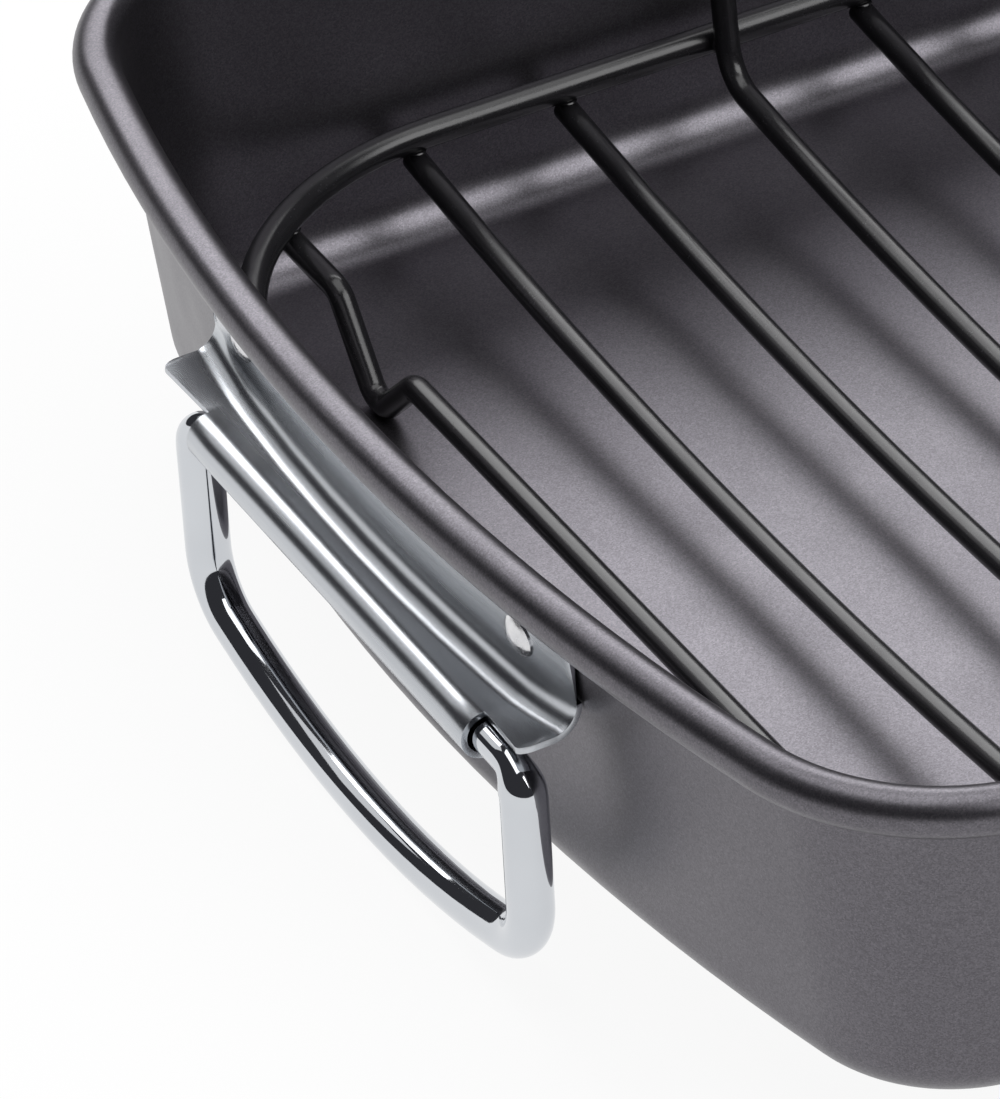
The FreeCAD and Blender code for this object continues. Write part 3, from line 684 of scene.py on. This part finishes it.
# %% Half a handle
BAIL_WIRE = 3.72 * MM
PIN_RADIUS = 2.7 * MM
BAIL_BEND = 5 * MM
BAIL_LEG = 33 * MM
BAIL_CORNER = 11 * MM
GRIP_DROP = 15.5 * MM
GRIP_RADIUS = 165 * MM
PIN_NECK = 3.2 * MM
PIN_LENGTH = 12 * MM
BAIL_SLIDE = 3.3 * MM
TAPER_START_DEG = 20
TAPER_DEG = 60
TAPER_STEPS = 15
bail_half = barrel_half + PIN_NECK + BAIL_BEND
grip_slope = math.atan2(GRIP_DROP, bail_half)
slope_deg = math.degrees(grip_slope)
corner_reach = BAIL_CORNER * math.tan((math.pi / 2 - grip_slope) / 2)
grip_reach = GRIP_RADIUS * math.tan(grip_slope)
slope_left = math.hypot(bail_half, GRIP_DROP) - corner_reach - grip_reach
grip_middle = -BAIL_LEG - GRIP_DROP + GRIP_RADIUS * (1 / math.cos(grip_slope) - 1)


def half_handle():
    """Half a handle about the hinge axis, from the middle of the grip to the end of a pin."""
    wire = Wire((0, 0, grip_middle), Y_AXIS, X_AXIS, BAIL_WIRE, sides=36)
    wire.bend(GRIP_RADIUS, slope_deg, step=2.0)
    wire.feed(slope_left)
    wire.bend(BAIL_CORNER, 90 - slope_deg, step=5.0)
    wire.feed(BAIL_LEG - corner_reach - BAIL_BEND)
    wire.bend(BAIL_BEND, TAPER_START_DEG, step=5.0)
    thickness = BAIL_WIRE
    for number in range(1, TAPER_STEPS + 1):
        share = number / TAPER_STEPS
        wanted = BAIL_WIRE - (BAIL_WIRE - PIN_RADIUS) * share ** 2 * (3 - 2 * share)
        wire.bend(BAIL_BEND, TAPER_DEG / TAPER_STEPS)
        wire.swell(wanted / thickness)
        thickness = wanted
    wire.bend(BAIL_BEND, 90 - TAPER_START_DEG - TAPER_DEG, step=5.0)
    wire.feed(PIN_NECK + PIN_LENGTH)
    return wire.bm


# %% [markdown]
# The half is mirrored at the middle of the grip, where both halves merge. The pins get flat ends, and the
# handle is then carried to the barrel's axis.

# %% Handles
for end, place in END_PLACES.items():
    handle = half_handle()
    bmesh.ops.mirror(
        handle, geom=list(handle.verts) + list(handle.edges) + list(handle.faces), matrix=Matrix(),
        merge_dist=NEAR, axis="Y")
    pin_ends = [edge for edge in handle.edges if edge.is_boundary]
    bmesh.ops.holes_fill(handle, edges=pin_ends, sides=0)
    hinge = Matrix.Translation(barrel_axis + Y_AXIS * BAIL_SLIDE)
    bmesh.ops.transform(handle, matrix=place @ hinge, verts=handle.verts)
    hand_over(handle, f"{end}_handle", bright_chrome, f"{end}_handle", [f"{end}_bail"])

# %% [markdown]
# ## Rack frame
# The rack's outline is a closed loop of thicker wire, again a rectangle with round corners and bowed ends.
# The wire is fed and bent once round the loop, and its last ring is merged with the first.

# %% Rack frame
FRAME_WIRE = 2.6 * MM
RACK_WIRE = 2.2 * MM
RACK_CORNER = 55 * MM
RACK_END = 490 * MM
RACK_END_GAP = 16.5 * MM
RACK_SIDE_GAP = 15.0 * MM
rack_half_length = rim_half_length - RACK_END_GAP
rack_half_width = rim_half_width - RACK_SIDE_GAP
rack_level = 22.7 * MM
rack_corner_x, rack_corner_y, rack_spread = bowed_corner(
    rack_half_length, rack_half_width, RACK_CORNER, RACK_END)

loop = Wire((0, rack_half_width, rack_level), X_AXIS, Z_AXIS, FRAME_WIRE)
loop.feed(rack_corner_x)
for length in (2 * rack_corner_x, rack_corner_x):
    loop.bend(RACK_CORNER, rack_spread - 90, step=4.0)
    loop.bend(RACK_END, -2 * rack_spread, step=1.5)
    loop.bend(RACK_CORNER, rack_spread - 90, step=4.0)
    loop.feed(length)
hand_over(loop.bm, "rack_frame", rack_coat, "rack", ["rack_frame_wire"])

# %% [markdown]
# ## Cross wires
# Seven thinner wires hang under the frame in a shallow sag. Each is one bend of a very large radius. The
# ends are cut off square and the coating rounds their edges.

# %% Cross wires
WIRE_COUNT = 11
PLAIN_NUMBERS = (2, 3, 5, 6, 7, 9, 10)
FIRST_WIRE_INSET = 27.95 * MM
WELD_SINK = 0.1 * MM
WIRE_SAG = 8.2 * MM
WIRE_OVERRUN = 1.0 * MM
CUT_EDGE = 0.5 * MM
wire_level = rack_level - FRAME_WIRE - RACK_WIRE + WELD_SINK
wire_pitch = 2 * (rack_half_length - FIRST_WIRE_INSET) / (WIRE_COUNT - 1)
sag_radius = (rack_half_width ** 2 + WIRE_SAG ** 2) / (2 * WIRE_SAG)
wire_half = rack_half_width + WIRE_OVERRUN
sag_angle = math.asin(wire_half / sag_radius)
wire_end_level = wire_level - WIRE_SAG + sag_radius * (1 - math.cos(sag_angle))


def wire_x(number):
    """Place of a cross wire along the pan, counted from the left end."""
    return (number - (WIRE_COUNT + 1) / 2) * wire_pitch


for number in PLAIN_NUMBERS:
    aim = Vector((0, math.cos(sag_angle), -math.sin(sag_angle)))
    wire = Wire((wire_x(number), -wire_half, wire_end_level), aim, X_AXIS, RACK_WIRE)
    wire.bend(sag_radius, 2 * math.degrees(sag_angle), step=0.5)
    wire.cap(CUT_EDGE)
    hand_over(
        wire.bm, f"cross_wire_{number:02d}", rack_coat, "rack",
        [f"rack_cross_wire_{number:02d}"])

# %% [markdown]
# ## Footed wires
# The first and last cross wires dip twice to the pan's floor, and these dips are the rack's four feet.
# Their path is easiest to give as corner points. The bender then works out each turn and each straight
# length from them.

# %% Footed wires
FOOT_INSET = 31 * MM
FOOT_RUN = 11 * MM
FOOT_FLAT = 4.5 * MM
FOOT_CREST = 10.5 * MM
FOOT_BEND = 4 * MM
FOOT_CLEARANCE = 0.3 * MM
foot_level = pan_sheet + FOOT_CLEARANCE + RACK_WIRE


def bend_through(wire, points, radius):
    """Leads a wire through corner points, with a bend of the radius at each inner one."""
    spent = 0.0
    for before, corner, after in zip(points, points[1:], points[2:]):
        way_in = (corner - before).normalized()
        way_out = (after - corner).normalized()
        bend = way_in.angle(way_out)
        side = math.copysign(1.0, wire.normal.dot(way_in.cross(way_out)))
        reach = radius * math.tan(bend / 2)
        wire.feed((corner - before).length - spent - reach)
        wire.bend(radius, side * math.degrees(bend), step=8.0)
        spent = reach
    wire.feed((points[-1] - points[-2]).length - spent)


def frame_half_width_at(x):
    """Half width of the rack frame at a place along it."""
    past = max(0.0, abs(x) - rack_corner_x)
    return rack_corner_y + math.sqrt(RACK_CORNER ** 2 - past ** 2)


for number in (1, WIRE_COUNT):
    x = wire_x(number)
    half = frame_half_width_at(x)
    near = half - FOOT_INSET - FOOT_FLAT / 2
    far = near + FOOT_FLAT
    outer = [
        (half + WIRE_OVERRUN, wire_level), (far + FOOT_RUN, wire_level), (far, foot_level),
        (near, foot_level), (near - FOOT_RUN, foot_level + FOOT_CREST)]
    points = [Vector((x, -y, z)) for y, z in outer]
    points += [Vector((x, y, z)) for y, z in reversed(outer)]
    wire = Wire(points[0], Y_AXIS, X_AXIS, RACK_WIRE)
    bend_through(wire, points, FOOT_BEND)
    wire.cap(CUT_EDGE)
    hand_over(
        wire.bm, f"foot_wire_{number:02d}", rack_coat, "rack",
        [f"rack_foot_wire_{number:02d}"])

# %% [markdown]
# ## Lifting wire
# One more closed wire makes two of the cross wires and both lifting loops. From the middle of a cross wire
# it rises in the sag, turns up beside the frame, leans outwards a little, crosses over at the top, comes
# down again and runs back as the next cross wire. That is half of the loop, and the same moves with
# opposite turns make the other half.

# %% Lifting wire
LIFT_NUMBERS = (4, 8)
LIFT_BEND = 8 * MM
LIFT_STRAIGHT = 7.6 * MM
LEAN_DEG = 6.0
LOOP_ABOVE_RIM = 12 * MM
lean = math.radians(LEAN_DEG)
lift_x = wire_x(LIFT_NUMBERS[1])
lift_top = pan_high.z + LOOP_ABOVE_RIM - RACK_WIRE
upright_y = rack_half_width - (FRAME_WIRE + RACK_WIRE - WELD_SINK) / math.cos(lean)
knee_level = wire_level - WIRE_SAG + upright_y ** 2 / (2 * sag_radius)
knee_y = upright_y + math.tan(lean) * (knee_level - rack_level)
rise = math.atan2(knee_y, sag_radius)
rise_deg = math.degrees(rise)
knee_deg = 90 - LEAN_DEG - rise_deg
knee_reach = LIFT_BEND * math.tan(math.radians(knee_deg) / 2)
bow_reach = knee_y / math.cos(rise) - knee_reach - LIFT_STRAIGHT
bow_radius = bow_reach / math.tan(rise)
bow_level = knee_level - knee_y * math.tan(rise) + bow_radius * (1 / math.cos(rise) - 1)
upright = (lift_top - knee_level) / math.cos(lean) - knee_reach - LIFT_BEND

lift_start = Vector((-lift_x, 0, bow_level))
lift = Wire(lift_start, Y_AXIS, X_AXIS, RACK_WIRE)
for side in (1, -1):
    lift.bend(bow_radius, side * rise_deg, step=0.5)
    lift.feed(LIFT_STRAIGHT)
    lift.bend(LIFT_BEND, side * knee_deg)
    lift.feed(upright)
    lift.normal = lift.heading.cross(X_AXIS * side)
    lift.bend(LIFT_BEND, 90)
    lift.feed(2 * (lift_x - LIFT_BEND))
    lift.bend(LIFT_BEND, 90)
    lift.normal = X_AXIS
    lift.feed(upright)
    lift.bend(LIFT_BEND, -side * knee_deg)
    lift.feed(LIFT_STRAIGHT)
    lift.bend(bow_radius, -side * rise_deg, step=0.5)
print("lifting wire closes within", round((lift.place - lift_start).length / MM, 4), "mm")
hand_over(lift.bm, "lifting_wire", rack_coat, "rack", ["rack_lift_wire"])

# %% [markdown]
# ## Welds
# The wires are spot welded where they cross the frame. A weld squeezes a little metal out between the
# wires, and the coating covers it. Each one is a small flattened ball at the place where two wires touch.

# %% Welds
WELD_RADIUS = 1.9 * MM
WELD_HEIGHT = 0.55 * MM
spots = []
for number in range(1, WIRE_COUNT + 1):
    for side in (-1, 1):
        x = wire_x(number)
        if number in LIFT_NUMBERS:
            spots.append((Vector((x, side * (rack_half_width - FRAME_WIRE), rack_level)), "X"))
        else:
            spots.append((Vector((x, side * frame_half_width_at(x), rack_level - FRAME_WIRE)), "Z"))
welds = bmesh.new()
for spot, across in spots:
    ball = bmesh.ops.create_uvsphere(welds, u_segments=16, v_segments=8, radius=WELD_RADIUS)["verts"]
    bmesh.ops.scale(welds, vec=(1, 1, WELD_HEIGHT / WELD_RADIUS), verts=ball)
    if across == "X":
        bmesh.ops.rotate(welds, cent=(0, 0, 0), matrix=Matrix.Rotation(math.pi / 2, 3, "X"), verts=ball)
    bmesh.ops.translate(welds, vec=spot, verts=ball)
hand_over(welds, "rack_welds", rack_coat, "rack")

# %% [markdown]
# ## Floor
# The object is photographed on plain white. The floor is a large plane just under the lowest point of the
# handles. To the camera and in reflections it is mostly self-lit, so it looks white without more light on
# the object. The rest is ordinary diffuse white, which keeps the shadow.

# %% Floor
FLOOR_HALF = 12.0
FLOOR_GAP = 0.02 * MM
floor_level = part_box("left_bail")[0].z
ground = bmesh.new()
bmesh.ops.create_grid(ground, x_segments=1, y_segments=1, size=FLOOR_HALF)
bmesh.ops.translate(ground, vec=(0, 0, floor_level - FLOOR_GAP), verts=ground.verts)
floor_mesh = bpy.data.meshes.new("floor")
ground.to_mesh(floor_mesh)
ground.free()
floor = bpy.data.objects.new("floor", floor_mesh)
bpy.context.scene.collection.objects.link(floor)
floor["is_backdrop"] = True
print("floor at", round(floor_level, 5), "m")

# %% [markdown]
# The floor's material mixes a matt white with a glow of strength 1, which is white. The glow takes over
# only for rays that come from the camera or through a reflection, so the lamps alone still light the
# object.

# %% White floor
FLOOR_WHITE = 0.95
FLOOR_GLOW = 0.93
paper = bpy.data.materials.new("white_floor")
paper.use_nodes = True
paper.node_tree.nodes.remove(paper.node_tree.nodes["Principled BSDF"])
matt = add_node(paper, "ShaderNodeBsdfDiffuse")
matt.inputs["Color"].default_value = (FLOOR_WHITE, FLOOR_WHITE, FLOOR_WHITE, 1)
glow = add_node(paper, "ShaderNodeEmission")
rays = add_node(paper, "ShaderNodeLightPath")
seen = rays.outputs["Is Camera Ray"]
for ray in ("Is Glossy Ray", "Is Transmission Ray"):
    either = add_node(paper, "ShaderNodeMath", operation="MAXIMUM")
    plug(paper, seen, either.inputs[0])
    plug(paper, rays.outputs[ray], either.inputs[1])
    seen = either.outputs["Value"]
share = add_node(paper, "ShaderNodeMath", operation="MULTIPLY")
share.inputs[1].default_value = FLOOR_GLOW
plug(paper, seen, share.inputs[0])
blend = add_node(paper, "ShaderNodeMixShader")
plug(paper, share.outputs["Value"], blend.inputs["Fac"])
plug(paper, matt.outputs["BSDF"], blend.inputs[1])
plug(paper, glow.outputs["Emission"], blend.inputs[2])
plug(paper, blend.outputs["Shader"], paper.node_tree.nodes["Material Output"].inputs["Surface"])
floor_mesh.materials.append(paper)
print("floor material:", paper.name)

# %% [markdown]
# ## Light
# Four soft boxes light the object, as in a small studio: a large one overhead, a wide one behind that the
# pan's floor reflects towards the camera, one in front that gives the round edge of the base its light
# band, and a dim one at the side for the bracket. Together they light a level sheet a little above its
# written colour and an upright one below it. The room around them is dark, which gives chrome its black
# bands.

# %% Light
def soft_box(name, place, size, radiance, aim=(0, 0, 0.02)):
    """A rectangular lamp that faces the aim, with a brightness given as radiance."""
    lamp = bpy.data.lights.new(name, "AREA")
    lamp.shape = "RECTANGLE"
    lamp.size, lamp.size_y = size
    lamp.energy = radiance * math.pi * size[0] * size[1]
    box = bpy.data.objects.new(name, lamp)
    box.location = place
    box.rotation_euler = (Vector(place) - Vector(aim)).to_track_quat("Z", "Y").to_euler()
    bpy.context.scene.collection.objects.link(box)
    box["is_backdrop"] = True
    print(name, round(lamp.energy, 1), "W")


soft_box("overhead_box", (0.0, 0.1, 1.6), (1.7, 1.3), 2.0)
soft_box("back_box", (0.29, 1.27, 1.08), (1.95, 0.78), 3.8)
soft_box("front_box", (0.55, -1.00, 1.20), (1.4, 1.0), 3.6)
soft_box("side_box", (-0.88, 1.18, 1.05), (0.5, 0.8), 0.8)

DARK_ROOM = (0.04, 0.04, 0.045, 1)
room = bpy.data.worlds.new("room")
room.use_nodes = True
bpy.context.scene.world = room
room.node_tree.nodes["Background"].inputs["Color"].default_value = DARK_ROOM

# %% [markdown]
# ## Camera
# The camera has the viewing angle of the photograph, which shows one end of the pan: it stands to the left
# of that end and looks down, with a long lens and a slight roll.

# %% Camera
CAMERA_PLACE = (-0.6055, -0.9010, 0.7488)
CAMERA_AZIMUTH_DEG = -26.07
CAMERA_ELEVATION_DEG = 35.66
CAMERA_ROLL_DEG = -3.61
FOCAL_LENGTH = 260.2
SENSOR_WIDTH = 36
NEAREST = 0.05
FARTHEST = 60
lens = bpy.data.cameras.new("camera")
lens.sensor_width = SENSOR_WIDTH
lens.lens = FOCAL_LENGTH
lens.clip_start = NEAREST
lens.clip_end = FARTHEST
camera = bpy.data.objects.new("camera", lens)
azimuth, elevation, roll = (
    math.radians(angle) for angle in (CAMERA_AZIMUTH_DEG, CAMERA_ELEVATION_DEG, CAMERA_ROLL_DEG))
camera.matrix_world = (
    Matrix.Translation(CAMERA_PLACE)
    @ Matrix.Rotation(azimuth, 4, "Z")
    @ Matrix.Rotation(math.pi / 2 - elevation, 4, "X")
    @ Matrix.Rotation(roll, 4, "Z")
)
bpy.context.scene.collection.objects.link(camera)
bpy.context.scene.camera = camera
bpy.context.scene.view_settings.view_transform = "Standard"
print("camera at", [round(n, 3) for n in camera.matrix_world.translation])

# %% [markdown]
# ## Sizes at the end
# The size of the dressed object is printed beside the size of the CAD model, so that one can see whether
# anything grew past it.

# %% Finish
size_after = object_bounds()
for name, size in (("size before", size_before), ("size after", size_after)):
    print(name, [[round(number, 4) for number in corner] for corner in size])
